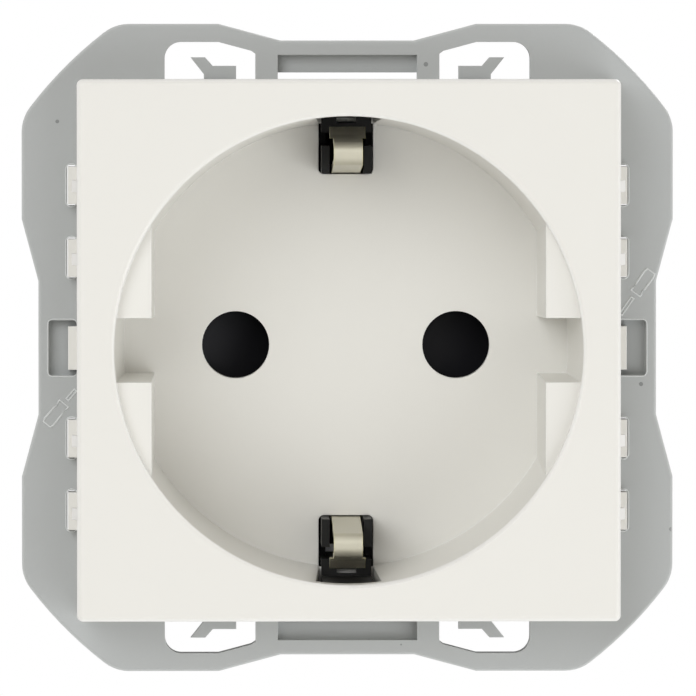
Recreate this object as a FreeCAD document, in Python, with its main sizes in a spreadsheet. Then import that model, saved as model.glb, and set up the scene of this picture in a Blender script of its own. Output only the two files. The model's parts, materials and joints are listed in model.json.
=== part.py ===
import FreeCAD, Part
import math
import os
import re
import Sketcher

Vector = FreeCAD.Vector
Rotation = FreeCAD.Rotation

# A flush wall socket with a round plug well, side earth clips and a child safety shutter.
# X runs right, Y runs back into the wall and Z runs up. The origin is the middle of the mounting
# frame's back face, which lies on the wall.

document = FreeCAD.newDocument("wallSocket")
sheet = document.addObject("Spreadsheet::Sheet", "sizes")

drivingSizes = [
    ("coverWidth", 46.05, "white cover, left to right"),
    ("coverHeight", 45.9, "white cover, bottom to top"),
    ("coverProud", 8.5, "cover face in front of the mounting frame"),
    ("coverFaceWall", 2.0, "wall of the square face"),
    ("coverSkirtWall", 1.6, "wall of the cover's skirt"),
    ("coverCornerRound", 0.5, "corners of the face, seen from the front"),
    ("coverEdgeRound", 0.45, "front edge of the cover"),
    ("wellRimDiameter", 39.7, "plug well at the face"),
    ("wellFloorDiameter", 38.35, "plug well at its floor"),
    ("wellDepth", 17.5, "face to well floor"),
    ("wellWall", 1.4, "side wall of the plug well"),
    ("wellFloorWall", 1.6, "floor of the plug well"),
    ("wellRimRound", 0.35, "round edge of the well's rim"),
    ("noseSpan", 33.4, "between the two flat guide noses, at the front"),
    ("noseSpanAtFloor", 33.0, "between the two flat guide noses, at the floor"),
    ("noseNotch", 5.45, "notch in each nose, at the front"),
    ("noseNotchAtFloor", 4.9, "notch in each nose, at the floor"),
    ("noseSetback", 1.2, "front of the noses behind the face"),
    ("pinSpacing", 19.0, "between the two pin holes, a standard size"),
    ("pinHoleDiameter", 5.8, "pin holes in the well floor"),
    ("pinPassage", 0.5, "how much wider the holes behind the well floor are"),
    ("earthWindowWidth", 4.7, "earth windows, left to right"),
    ("earthWindowFlare", 0.45, "how far each cheek of an earth window opens towards the rim"),
    ("earthWindowStart", 14.72, "axis to the inner end of an earth window"),
    ("earthWindowRound", 0.45, "inner corners of the earth windows"),
    ("latchBarDepth", 15.4, "face to the bar of well wall that closes each earth window"),
    ("pegReach", 0.45, "plate pegs out of the cover's sides"),
    ("pegTall", 1.0, "plate pegs, along the side"),
    ("pegDepth", 2.3, "face to the crest of the plate pegs"),
    ("frameWidth", 55.6, "mounting frame, left to right"),
    ("frameHeight", 55.3, "mounting frame, bottom to top"),
    ("frameThickness", 2.0, "plate of the mounting frame"),
    ("frameCornerSpread", 12.55, "circle of the frame's corner edges, over the mean of its sides"),
    ("frameCornerRound", 3.5, "blend between corner edge and straight edge"),
    ("frameEdgeRound", 0.3, "front edge of the frame"),
    ("waistDepth", 1.42, "waist in the middle of each side"),
    ("waistFlat", 11.4, "straight bottom of a waist"),
    ("waistSpread", 22.0, "waist from end to end"),
    ("frameBore", 43.2, "round hole in the frame behind the cover"),
    ("slotOuter", 23.94, "axis to the outer edge of the side slots"),
    ("slotInner", 22.4, "axis to the inner edge of the side slots"),
    ("slotNear", 7.7, "axis to the middle of the inner side slots"),
    ("slotFar", 13.89, "axis to the middle of the outer side slots"),
    ("slotTall", 3.45, "side slots, along the side"),
    ("tongueReach", 0.82, "cover tongues out of the cover's sides"),
    ("tongueClearance", 0.12, "gap round a tongue in its slot"),
    ("windowTall", 4.7, "recessed window in the middle of each side, along the side"),
    ("windowOuter", 25.5, "axis to the outer edge of the side windows"),
    ("windowSink", 1.1, "depth of the recessed windows"),
    ("lipTall", 3.7, "release lip of the cover, along the side"),
    ("railHalf", 5.95, "half the length of the upper and lower windows"),
    ("railEdge", 2.65, "frame edge to the outer edge of the upper and lower windows"),
    ("railFloorEdge", 4.15, "frame edge to the inner edge of their recessed floor"),
    ("openingFloorEdge", 5.15, "frame edge to the inner edge of the see-through openings"),
    ("openingEdge", 1.55, "frame edge to the see-through openings"),
    ("openingStart", 7.85, "axis to the near end of the see-through openings"),
    ("openingEnd", 15.6, "axis to the far end of the see-through openings"),
    ("openingRound", 1.4, "outer far corner of the see-through openings"),
    ("hornThickness", 1.2, "horned tabs"),
    ("hornTopEdge", 2.85, "frame edge to the tip of the horned tabs"),
    ("hornBarEdge", 3.58, "frame edge to the outer edge of the tab's bar"),
    ("baseWidth", 44.2, "socket base, across its flats"),
    ("baseSink", 0.3, "how far the base sits in the recess at the frame's back"),
    ("baseCornerTrim", 5.50824, "round corners of the socket base, off its diagonal"),
    ("baseCornerCut", 3.9, "corners left off the frame's recess for the base"),
    ("chamberRoom", 14.15, "chambers of the socket base, front to back"),
    ("cupClearance", 0.28, "between the well's outside and the base"),
    ("towerWall", 1.1, "outer wall of the earth towers"),
    ("towerWidth", 4.3, "earth towers, left to right"),
    ("towerClearance", 0.1, "earth towers to the well"),
    ("cheekHeight", 5.6, "guide cheeks in front of the well floor"),
    ("retainerThickness", 1.0, "plate in front of the shutter"),
    ("retainerGap", 0.15, "well floor to the shutter retainer"),
    ("postDiameter", 1.6, "posts that hold the shutter retainer"),
    ("shutterDepth", 4.4, "shutter, front to back"),
    ("shutterPlate", 1.2, "back plate of the shutter"),
    ("shutterTall", 6.8, "shutter, bottom to top"),
    ("shutterTravel", 6.2, "how far the shutter slides"),
    ("shutterClearance", 0.15, "gap on each side of the shutter"),
    ("lugSetback", 4.8, "left side of the shutter's lug, left of the pushed place"),
    ("lugWidth", 2.0, "lug of the shutter, left to right"),
    ("springWidth", 2.0, "strip of the shutter spring, front to back"),
    ("springCrest", 4.4, "axis to the middle of the spring's bend"),
    ("springCrestWidth", 1.6, "bend of the spring, between its two corners"),
    ("springDrop", 2.2, "inner end of the earth windows to the spring's bend"),
    ("springStrip", 0.3, "sheet of the shutter spring"),
    ("webThickness", 1.0, "wall between the shutter and the contacts"),
    ("contactStrip", 0.8, "sheet of the live and neutral contacts"),
    ("contactWidth", 6.0, "sprung jaws, left to right"),
    ("contactGrip", 4.1, "free gap between the sprung jaws"),
    ("contactSetback", 1.6, "back of the base to the middle of the contact's back strip"),
    ("clipStrip", 0.5, "sheet of the steel contact clips"),
    ("terminalReach", 15.2, "axis to the middle of the terminal plates"),
    ("terminalTall", 9.0, "terminal plates, across"),
    ("terminalSetback", 6.6, "back of the base to the middle of the terminal screws"),
    ("wireGap", 2.4, "free gap for a wire under the clamp plates"),
    ("wireOffset", 3.1, "terminal screw to the middle of a wire entry"),
    ("wireEntryDiameter", 3.6, "wire entries in the rear cover"),
    ("clampThickness", 1.2, "clamp plates"),
    ("clampSide", 7.6, "clamp plates, square"),
    ("screwDiameter", 3.5, "terminal screws"),
    ("screwHeadDiameter", 6.2, "heads of the terminal screws"),
    ("screwHeadHeight", 2.2, "heads of the terminal screws"),
    ("threadClearance", 0.03, "terminal screw in its plate, all round"),
    ("earthStrip", 0.6, "sheet of the earth bow"),
    ("earthClipWidth", 2.45, "sprung ends of the earth bow"),
    ("earthHeadWidth", 3.05, "T heads of the earth bow"),
    ("earthLegWidth", 6.0, "upper leg and bridge of the earth bow"),
    ("earthReach", 15.05, "axis to the middle of the earth bow's legs"),
    ("earthBridgeSetback", 4.2, "back of the base to the earth bow's bridge"),
    ("rearCoverThickness", 2.0, "rear cover"),
    ("longScrewInset", 3.75125, "corner of the base to the long screws, along the diagonal"),
    ("longScrewDiameter", 2.9, "long screws"),
    ("longScrewHead", 5.6, "heads of the long screws"),
    ("bossDiameter", 5.0, "screw bosses on the frame"),
    ("bossHeight", 3.2, "screw bosses on the frame"),
    ("fitClearance", 0.1, "loose fit between fixed pieces"),
]

for row, (alias, value, note) in enumerate(drivingSizes, start=1):
    sheet.set(f"A{row}", note)
    sheet.set(f"B{row}", str(value))
    sheet.setAlias(f"B{row}", alias)
document.recompute()

aliasPattern = re.compile(r"\b(" + "|".join(alias for alias, value, note in drivingSizes) + r")\b")


def size(alias):
    return float(sheet.get(alias))


def bound(text):
    return aliasPattern.sub(r"sizes.\1", text)


def bind(thing, links):
    for name, text in links.items():
        thing.setExpression(name, bound(text))


def flipped(span):
    return (f"-({span[1]})", f"-({span[0]})")


def around(middle, width):
    return (f"{middle} - ({width}) / 2", f"{middle} + ({width}) / 2")


# Primitives whose depth runs along Y.

def box(name, x, y, z):
    piece = document.addObject("Part::Box", name)
    bind(piece, {
        "Length": f"({x[1]}) - ({x[0]})",
        "Width": f"({y[1]}) - ({y[0]})",
        "Height": f"({z[1]}) - ({z[0]})",
        "Placement.Base.x": x[0],
        "Placement.Base.y": y[0],
        "Placement.Base.z": z[0],
    })
    return piece


axisTurns = {
    "x": Rotation(Vector(0, 1, 0), 90),
    "y": Rotation(Vector(1, 0, 0), -90),
    "z": Rotation(),
}


def rod(name, radius, span, axis="y", x="0", y="0", z="0"):
    piece = document.addObject("Part::Cylinder", name)
    piece.Placement = FreeCAD.Placement(Vector(), axisTurns[axis])
    start = {"x": x, "y": y, "z": z}
    start[axis] = span[0]
    bind(piece, {
        "Radius": radius,
        "Height": f"({span[1]}) - ({span[0]})",
        "Placement.Base.x": start["x"],
        "Placement.Base.y": start["y"],
        "Placement.Base.z": start["z"],
    })
    return piece


def cone(name, firstRadius, lastRadius, span, axis="y", x="0", y="0", z="0"):
    piece = document.addObject("Part::Cone", name)
    piece.Placement = FreeCAD.Placement(Vector(), axisTurns[axis])
    start = {"x": x, "y": y, "z": z}
    start[axis] = span[0]
    bind(piece, {
        "Radius1": firstRadius,
        "Radius2": lastRadius,
        "Height": f"({span[1]}) - ({span[0]})",
        "Placement.Base.x": start["x"],
        "Placement.Base.y": start["y"],
        "Placement.Base.z": start["z"],
    })
    return piece


def wedge(name, y, frontX, frontZ, backX, backZ):
    piece = document.addObject("Part::Wedge", name)
    bind(piece, {
        "Ymin": y[0], "Ymax": y[1],
        "Xmin": frontX[0], "Xmax": frontX[1], "Zmin": frontZ[0], "Zmax": frontZ[1],
        "X2min": backX[0], "X2max": backX[1], "Z2min": backZ[0], "Z2max": backZ[1],
    })
    return piece


def join(name, pieces):
    piece = document.addObject("Part::MultiFuse", name)
    piece.Shapes = pieces
    piece.Refine = True
    return piece


def overlap(name, pieces):
    piece = document.addObject("Part::MultiCommon", name)
    piece.Shapes = pieces
    return piece


def cut(name, base, tools):
    piece = document.addObject("Part::Cut", name)
    piece.Base = base
    piece.Tool = tools[0] if len(tools) == 1 else join(name + "Tools", tools)
    piece.Refine = True
    return piece


def edgeNumbers(shape, test):
    return [number for number, edge in enumerate(shape.Edges, start=1) if test(edge)]


def rounded(name, base, radius, test):
    document.recompute()
    piece = document.addObject("Part::Fillet", name)
    piece.Base = base
    piece.Edges = [(number, radius, radius) for number in edgeNumbers(base.Shape, test)]
    return piece


def bevelled(name, base, reach, test):
    document.recompute()
    piece = document.addObject("Part::Chamfer", name)
    piece.Base = base
    piece.Edges = [(number, reach, reach) for number in edgeNumbers(base.Shape, test)]
    return piece


def near(value, target, within=0.02):
    return abs(value - target) < within


def edgeMiddle(edge):
    return edge.valueAt((edge.FirstParameter + edge.LastParameter) / 2)


def runsAlong(edge, axis):
    if edge.Curve.TypeId != "Part::GeomLine":
        return False
    direction = edge.tangentAt(edge.FirstParameter)
    return abs(getattr(direction, axis)) > 0.999


# Bodies made from sketches.

def newBody(name):
    return document.addObject("PartDesign::Body", name)


def sketchOn(body, role, offset, name):
    plane = [feature for feature in body.Origin.OriginFeatures if feature.Role == role][0]
    sketch = body.newObject("Sketcher::SketchObject", name)
    sketch.AttachmentSupport = (plane, "")
    sketch.MapMode = "FlatFace"
    bind(sketch, {"AttachmentOffset.Base.z": offset})
    return sketch


def setPoint(sketch, line, x, y):
    if x == "0":
        sketch.addConstraint(Sketcher.Constraint("PointOnObject", line, 1, -2))
    else:
        number = sketch.addConstraint(Sketcher.Constraint("DistanceX", -1, 1, line, 1, 1.0))
        bind(sketch, {f"Constraints[{number}]": x})
    if y == "0":
        sketch.addConstraint(Sketcher.Constraint("PointOnObject", line, 1, -1))
    else:
        number = sketch.addConstraint(Sketcher.Constraint("DistanceY", -1, 1, line, 1, 1.0))
        bind(sketch, {f"Constraints[{number}]": y})


def polygon(sketch, corners):
    first = sketch.GeometryCount
    count = len(corners)
    starts = [Vector(10 * math.cos(2 * math.pi * k / count), 10 * math.sin(2 * math.pi * k / count), 0)
              for k in range(count)]
    for k in range(count):
        sketch.addGeometry(Part.LineSegment(starts[k], starts[(k + 1) % count]), False)
    for k in range(count):
        following = first + (k + 1) % count
        sketch.addConstraint(Sketcher.Constraint("Coincident", first + k, 2, following, 1))
    for k, (x, y) in enumerate(corners):
        setPoint(sketch, first + k, x, y)


def circle(sketch, radius, x="0", y="0"):
    line = sketch.addGeometry(Part.Circle(Vector(0, 0, 0), Vector(0, 0, 1), 1.0), False)
    number = sketch.addConstraint(Sketcher.Constraint("Radius", line, 1.0))
    bind(sketch, {f"Constraints[{number}]": radius})
    for kind, axis, text in (("DistanceX", -2, x), ("DistanceY", -1, y)):
        if text == "0":
            sketch.addConstraint(Sketcher.Constraint("PointOnObject", line, 3, axis))
        else:
            number = sketch.addConstraint(Sketcher.Constraint(kind, -1, 1, line, 3, 1.0))
            bind(sketch, {f"Constraints[{number}]": text})


def pad(body, sketch, length, bothWays=False, reverse=False):
    feature = body.newObject("PartDesign::Pad", sketch.Name + "Pad")
    feature.Profile = sketch
    bind(feature, {"Length": length})
    feature.SideType = "Symmetric" if bothWays else "One side"
    feature.Reversed = reverse
    sketch.Visibility = False
    return feature


def pocket(body, sketch, length, bothWays=False, reverse=False):
    feature = body.newObject("PartDesign::Pocket", sketch.Name + "Pocket")
    feature.Profile = sketch
    bind(feature, {"Length": length})
    feature.SideType = "Symmetric" if bothWays else "One side"
    feature.Reversed = reverse
    return feature


def softened(body, radius, test, name):
    document.recompute()
    base = body.Tip
    names = [f"Edge{number}" for number in edgeNumbers(base.Shape, test)]
    feature = body.newObject("PartDesign::Fillet", name)
    feature.Base = (base, names)
    bind(feature, {"Radius": radius})
    return feature


def bevel(body, reach, test, name):
    document.recompute()
    base = body.Tip
    names = [f"Edge{number}" for number in edgeNumbers(base.Shape, test)]
    feature = body.newObject("PartDesign::Chamfer", name)
    feature.Base = (base, names)
    bind(feature, {"Size": reach})
    return feature


# A folded strip: a path of straight runs, each corner bent to an arc, with the sheet's thickness
# split evenly on both sides of the path.

def foldedStrip(sketch, path, thickness, bend):
    points = [Vector(x, y, 0) for x, y in path]
    runs = []
    bends = []
    start = points[0]
    for before, corner, after in zip(points, points[1:], points[2:]):
        inward = (corner - before).normalize()
        outward = (after - corner).normalize()
        turn = inward.getAngle(outward)
        reach = bend * math.tan(turn / 2)
        first = corner - inward * reach
        last = corner + outward * reach
        side = 1 if inward.cross(outward).z > 0 else -1
        middle = first + Vector(-inward.y, inward.x, 0) * side * bend
        runs.append((start, first))
        bends.append((middle, first, last, side))
        start = last
    runs.append((start, points[-1]))
    half = thickness / 2
    edges = []
    for side in (1, -1):
        for run in runs:
            along = (run[1] - run[0]).normalize()
            across = Vector(-along.y, along.x, 0) * half * side
            edges.append(Part.LineSegment(run[0] + across, run[1] + across))
        for middle, first, last, turnSide in bends:
            radius = bend - half * side * turnSide
            low = (first - middle).normalize() * radius
            high = (last - middle).normalize() * radius
            mid = (low + high).normalize() * radius
            edges.append(Part.Arc(middle + low, middle + mid, middle + high))
    for run, end in ((runs[0], 0), (runs[-1], 1)):
        along = (run[1] - run[0]).normalize()
        across = Vector(-along.y, along.x, 0) * half
        edges.append(Part.LineSegment(run[end] + across, run[end] - across))
    sketch.addGeometry(edges, False)


# Planes that several pieces share, as depths behind the wall face.

faceY = "(-frameThickness - coverProud)"
floorY = f"({faceY} + wellDepth)"
floorBackY = f"({floorY} + wellFloorWall)"
retainerY = f"({floorBackY} + retainerGap)"
deckY = f"({retainerY} + retainerThickness)"
shutterY = f"({deckY} + shutterClearance)"
webY = f"({shutterY} + shutterDepth + shutterClearance)"
chamberY = f"({webY} + webThickness)"
latchBarY = f"({faceY} + latchBarDepth)"
baseBackY = f"({chamberY} + chamberRoom)"
contactBackY = f"({baseBackY} - contactSetback)"
terminalY = f"({baseBackY} - terminalSetback)"
earthBridgeY = f"({baseBackY} - earthBridgeSetback)"
frameCornerAcross = "((frameWidth + frameHeight) / 2 + frameCornerSpread)"
baseAcross = "(baseWidth * sqrt(2) - baseCornerTrim)"
longScrewAt = f"(({baseAcross} / 2 - longScrewInset) * sqrt(0.5))"
halfPins = "(pinSpacing / 2)"
subParts = []


def named(piece, label):
    piece.Label = label
    subParts.append(piece)
    return piece


# Front cover: a square face with a skirt, the round plug well, its guide noses and its windows.

halfWide = "coverWidth / 2"
halfTall = "coverHeight / 2"
coverBlock = box("coverBlock", (f"-{halfWide}", halfWide), (faceY, "-frameThickness"),
                 (f"-{halfTall}", halfTall))
coverCorners = rounded("coverCorners", coverBlock, size("coverCornerRound"),
                       lambda edge: runsAlong(edge, "y"))
faceDepth = -size("frameThickness") - size("coverProud")
coverEdges = rounded("coverEdges", coverCorners, size("coverEdgeRound"),
                     lambda edge: near(edgeMiddle(edge).y, faceDepth))
rimHole = rod("rimHole", "wellRimDiameter / 2", (faceY, f"{faceY} + noseSetback"))
coverRim = cut("coverRim", coverEdges, [rimHole])
coverRimRound = rounded("coverRimRound", coverRim, size("wellRimRound"),
                        lambda edge: edge.Curve.TypeId == "Part::GeomCircle"
                        and near(edge.Curve.Radius, size("wellRimDiameter") / 2)
                        and near(edgeMiddle(edge).y, faceDepth))
skirtX = "coverWidth / 2 - coverSkirtWall"
skirtZ = "coverHeight / 2 - coverSkirtWall"
coverHollow = box("coverHollow", (f"-({skirtX})", skirtX), (f"{faceY} + coverFaceWall", "0"),
                  (f"-({skirtZ})", skirtZ))
coverShell = cut("coverShell", coverRimRound, [coverHollow])

# The well wall is as thick behind the noses as elsewhere, so its outside follows its inside.
wellStartY = f"({faceY} + noseSetback)"


def wellShape(name, grow, y):
    ring = cone(name + "Cone", f"wellRimDiameter / 2 + {grow}", f"wellFloorDiameter / 2 + {grow}", y)
    flats = wedge(name + "Flats", y,
                  (f"-noseSpan / 2 - {grow}", f"noseSpan / 2 + {grow}"),
                  ("-wellRimDiameter", "wellRimDiameter"),
                  (f"-noseSpanAtFloor / 2 - {grow}", f"noseSpanAtFloor / 2 + {grow}"),
                  ("-wellRimDiameter", "wellRimDiameter"))
    notch = wedge(name + "Notch", y,
                  ("-wellRimDiameter", "wellRimDiameter"),
                  (f"-noseNotch / 2 - {grow}", f"noseNotch / 2 + {grow}"),
                  ("-wellRimDiameter", "wellRimDiameter"),
                  (f"-noseNotchAtFloor / 2 - {grow}", f"noseNotchAtFloor / 2 + {grow}"))
    return overlap(name, [ring, join(name + "Guides", [flats, notch])])


wellOutside = wellShape("wellOutside", "wellWall", (wellStartY, floorBackY))
wellInside = wellShape("wellInside", "0", (wellStartY, floorY))
coverBody = join("coverBody", [coverShell, wellOutside])

coverCuts = [wellInside]
for side, number in (("-", 1), ("", 2)):
    hole = rod(f"pinHole{number}", "pinHoleDiameter / 2", (f"{floorY} - 1", f"{floorBackY} + 1"),
               x=f"{side}{halfPins}")
    coverCuts.append(hole)

# Each earth window runs from the well floor up the wall to the face. A bar of wall is left at its
# foot, and the base's tower hooks over it.
windowHalf = "earthWindowWidth / 2"
windowOpen = f"{windowHalf} + earthWindowFlare"
floorWindowSpan = ("earthWindowStart", "wellFloorDiameter / 2 + 0.05")
wallWindowSpan = ("wellFloorDiameter / 2 - 1.5", "wellRimDiameter / 2 + wellWall + 1")
for number, turn in ((1, lambda span: span), (2, flipped)):
    floorWindow = box(f"floorWindow{number}", (f"-{windowHalf}", windowHalf),
                      (f"{floorY} - 1", f"{floorBackY} + 1"), turn(floorWindowSpan))
    innerEnd = size("earthWindowStart")
    floorWindow = rounded(f"floorWindowRound{number}", floorWindow, size("earthWindowRound"),
                          lambda edge: runsAlong(edge, "y") and near(abs(edgeMiddle(edge).z), innerEnd))
    wallWindow = wedge(f"wallWindow{number}", (f"{faceY} + coverFaceWall", latchBarY),
                       (f"-({windowOpen})", windowOpen), turn(wallWindowSpan),
                       (f"-{windowHalf}", windowHalf), turn(wallWindowSpan))
    coverCuts += [floorWindow, wallWindow]
coverOpen = cut("coverOpen", coverBody, coverCuts)

# On the left and right sides: plate pegs near the face, snap tongues that enter the frame's slots,
# and a release lip in the middle.
coverParts = [coverOpen]
crestY = f"({faceY} + pegDepth)"
for number, turn in ((1, lambda span: span), (2, flipped)):
    pegFoot = turn((f"{halfWide} - 0.3", f"{halfWide} + 0.02"))
    pegCrest = turn((f"{halfWide} - 0.3", f"{halfWide} + pegReach"))
    for place, middle in enumerate(("slotNear", "slotFar", "-slotNear", "-slotFar"), start=1):
        rise = wedge(f"pegRise{number}{place}", (f"{crestY} - 1.2", crestY),
                     pegFoot, around(middle, "pegTall"), pegCrest, around(middle, "pegTall"))
        crest = box(f"pegCrest{number}{place}", pegCrest, (crestY, f"{crestY} + 0.9"),
                    around(middle, "pegTall"))
        tongueRoot = box(f"tongueRoot{number}{place}", turn((f"{halfWide} - 0.6", f"{halfWide} + tongueReach")),
                         ("-frameThickness - 1.6", "-frameThickness"),
                         around(middle, "slotTall - 2 * tongueClearance"))
        tongue = box(f"tongue{number}{place}", turn(("slotInner + tongueClearance", f"{halfWide} + tongueReach")),
                     ("-frameThickness - 0.2", "-0.3"), around(middle, "slotTall - 2 * tongueClearance"))
        coverParts += [rise, crest, tongueRoot, tongue]
    lip = box(f"releaseLip{number}", turn((f"{halfWide} - 0.6", f"{halfWide} + tongueReach")),
              ("-frameThickness - 0.7", "-frameThickness + windowSink - 0.2"), around("0", "lipTall"))
    coverParts.append(lip)
named(join("frontCover", coverParts), "front_cover")

# Mounting frame: a flat plate with the waists, windows, slots and horned tabs.

frame = newBody("mountingFrame")
edgeX = "frameWidth / 2"
edgeZ = "frameHeight / 2"
frameOutline = [(edgeX, f"-{edgeZ}")]
frameOutline += [(edgeX, "-waistSpread / 2"), (f"{edgeX} - waistDepth", "-waistFlat / 2"),
                 (f"{edgeX} - waistDepth", "waistFlat / 2"), (edgeX, "waistSpread / 2"), (edgeX, edgeZ)]
frameOutline += [("waistSpread / 2", edgeZ), ("waistFlat / 2", f"{edgeZ} - waistDepth"),
                 ("-waistFlat / 2", f"{edgeZ} - waistDepth"), ("-waistSpread / 2", edgeZ), (f"-{edgeX}", edgeZ)]
frameOutline += [(f"-{edgeX}", "waistSpread / 2"), (f"-{edgeX} + waistDepth", "waistFlat / 2"),
                 (f"-{edgeX} + waistDepth", "-waistFlat / 2"), (f"-{edgeX}", "-waistSpread / 2"),
                 (f"-{edgeX}", f"-{edgeZ}")]
frameOutline += [("-waistSpread / 2", f"-{edgeZ}"), ("-waistFlat / 2", f"-{edgeZ} + waistDepth"),
                 ("waistFlat / 2", f"-{edgeZ} + waistDepth"), ("waistSpread / 2", f"-{edgeZ}")]
plateSketch = sketchOn(frame, "XZ_Plane", "0", "framePlate")
polygon(plateSketch, frameOutline)
pad(frame, plateSketch, "frameThickness")

cornerSketch = sketchOn(frame, "XZ_Plane", "0", "frameCorners")
circle(cornerSketch, f"{frameCornerAcross} / 2")
circle(cornerSketch, frameCornerAcross)
pocket(frame, cornerSketch, "frameThickness", reverse=True)

cornerX = size("frameWidth") / 2
cornerZ = size("frameHeight") / 2
cornerReach = (cornerX + cornerZ + size("frameCornerSpread")) / 2
softened(frame, "frameCornerRound",
         lambda edge: runsAlong(edge, "y")
         and near(math.hypot(edgeMiddle(edge).x, edgeMiddle(edge).z), cornerReach, 0.05),
         "frameCornerBlend")
softened(frame, "frameEdgeRound",
         lambda edge: near(edgeMiddle(edge).y, -size("frameThickness")), "frameFrontEdge")

boreSketch = sketchOn(frame, "XZ_Plane", "0", "frameBoreHole")
circle(boreSketch, "frameBore / 2")
pocket(frame, boreSketch, "frameThickness", reverse=True)


def mirroredPolygons(sketch, corners, both):
    signs = [("", ""), ("-", ""), ("-", "-"), ("", "-")] if both else [("", ""), ("", "-")]
    for signX, signZ in signs:
        turned = [(f"{signX}({x})", f"{signZ}({z})") for x, z in corners]
        polygon(sketch, turned)


openingInnerZ = f"({edgeZ} - openingFloorEdge)"
openingOuterZ = f"({edgeZ} - openingEdge)"
railInnerZ = f"({edgeZ} - railFloorEdge)"
railOuterZ = f"({edgeZ} - railEdge)"
openingCorners = [
    ("openingStart", openingInnerZ),
    ("openingStart", f"{openingOuterZ} - 1.0"),
    ("openingStart + 0.35", f"{openingOuterZ} - 0.75"),
    ("openingStart + 3.15", openingOuterZ),
    ("openingEnd", openingOuterZ),
    ("openingEnd", openingInnerZ),
]
openingSketch = sketchOn(frame, "XZ_Plane", "0", "seeThroughOpenings")
mirroredPolygons(openingSketch, openingCorners, True)
pocket(frame, openingSketch, "frameThickness", reverse=True)
softened(frame, "openingRound",
         lambda edge: runsAlong(edge, "y") and near(abs(edgeMiddle(edge).x), size("openingEnd"))
         and near(abs(edgeMiddle(edge).z), cornerZ - size("openingEdge")), "openingCornerRound")

slotSketch = sketchOn(frame, "XZ_Plane", "0", "sideSlots")
for middle in ("slotNear", "slotFar"):
    low, high = around(middle, "slotTall")
    slotCorners = [("slotInner", low), ("slotOuter", low), ("slotOuter", high), ("slotInner", high)]
    mirroredPolygons(slotSketch, slotCorners, True)
railGap = [("-railHalf", openingInnerZ), ("railHalf", openingInnerZ), ("railHalf", railInnerZ),
           ("-railHalf", railInnerZ)]
mirroredPolygons(slotSketch, railGap, False)
pocket(frame, slotSketch, "frameThickness", reverse=True)

recessSketch = sketchOn(frame, "XZ_Plane", "frameThickness - windowSink", "recessedWindows")
railRecess = [("-railHalf", openingInnerZ), ("railHalf", openingInnerZ), ("railHalf", railOuterZ),
              ("-railHalf", railOuterZ)]
mirroredPolygons(recessSketch, railRecess, False)
for signX in ("", "-"):
    polygon(recessSketch, [(f"{signX}slotInner", "-windowTall / 2"), (f"{signX}windowOuter", "-windowTall / 2"),
                           (f"{signX}windowOuter", "windowTall / 2"), (f"{signX}slotInner", "windowTall / 2")])
pocket(frame, recessSketch, "windowSink", reverse=True)

hornTopZ = f"({edgeZ} - hornTopEdge)"
hornBarZ = f"({edgeZ} - hornBarEdge)"
hornCorners = [
    ("openingStart + 1.65", f"{openingInnerZ} - 0.4"),
    ("openingStart + 1.65", hornBarZ),
    ("openingStart + 3.65", hornBarZ),
    ("openingStart + 4.3", hornTopZ),
    ("openingStart + 5.55", hornTopZ),
    ("openingStart + 4.4", f"{railInnerZ} - 0.15"),
    ("openingStart + 4.4", f"{openingInnerZ} - 0.4"),
]
hornSketch = sketchOn(frame, "XZ_Plane", "(frameThickness - hornThickness) / 2", "hornedTabs")
mirroredPolygons(hornSketch, hornCorners, True)
pad(frame, hornSketch, "hornThickness")

baseRecess = sketchOn(frame, "XZ_Plane", "0", "baseRecess")
recessHalf = "(baseWidth / 2 + fitClearance)"
cutCorner = f"({recessHalf} - baseCornerCut)"
polygon(baseRecess, [(cutCorner, f"-{recessHalf}"), (recessHalf, f"-{cutCorner}"), (recessHalf, cutCorner),
                     (cutCorner, recessHalf), (f"-{cutCorner}", recessHalf), (f"-{recessHalf}", cutCorner),
                     (f"-{recessHalf}", f"-{cutCorner}"), (f"-{cutCorner}", f"-{recessHalf}")])
pocket(frame, baseRecess, "baseSink", reverse=True)

bossSketch = sketchOn(frame, "XZ_Plane", "frameThickness / 2", "screwBosses")
for sign in ("", "-"):
    circle(bossSketch, "bossDiameter / 2", f"{sign}{longScrewAt}", f"{sign}{longScrewAt}")
pad(frame, bossSketch, "frameThickness / 2 + bossHeight")
bossHoles = sketchOn(frame, "XZ_Plane", "0", "screwBossHoles")
for sign in ("", "-"):
    circle(bossHoles, "longScrewDiameter / 2 + threadClearance", f"{sign}{longScrewAt}",
           f"{sign}{longScrewAt}")
pocket(frame, bossHoles, "frameThickness + bossHeight", reverse=True)
named(frame, "mounting_frame")

# Socket base: a deep block with chambers, and two towers that reach into the earth windows.

halfBase = "baseWidth / 2"
cupRadius = f"(wellFloorDiameter / 2 + wellWall + ({floorBackY}) * "
cupRadius += "(wellRimDiameter - wellFloorDiameter) / 2 / wellDepth + cupClearance)"
baseBlock = overlap("baseBlock", [
    box("baseSquare", (f"-{halfBase}", halfBase), ("-baseSink", baseBackY), (f"-{halfBase}", halfBase)),
    rod("baseRound", f"{baseAcross} / 2", ("-baseSink", baseBackY)),
])
cupPocket = rod("cupPocket", cupRadius, ("-1", deckY))
shutterHalf = "(shutterTall / 2 + shutterClearance)"
plateLeft = f"({halfPins} + pinHoleDiameter / 2 + 0.6)"
plateRight = f"({halfPins} + pinHoleDiameter / 2 + 0.2)"
shutterRoom = box("shutterRoom", (f"-{plateLeft} - shutterTravel - 0.3", f"{plateRight} + 0.6"),
                  (f"{deckY} - 0.1", webY), (f"-{shutterHalf}", shutterHalf))
springRoomTop = "earthWindowStart - 0.9"
springRoom = box("springRoom", ("-shutterTravel - 3.4", "shutterTravel - 2.2"),
                 (f"{deckY} - 0.1", f"{shutterY} + 3.2"), (f"{shutterHalf} - 0.1", springRoomTop))
baseCuts = [cupPocket, shutterRoom, springRoom]

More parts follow.
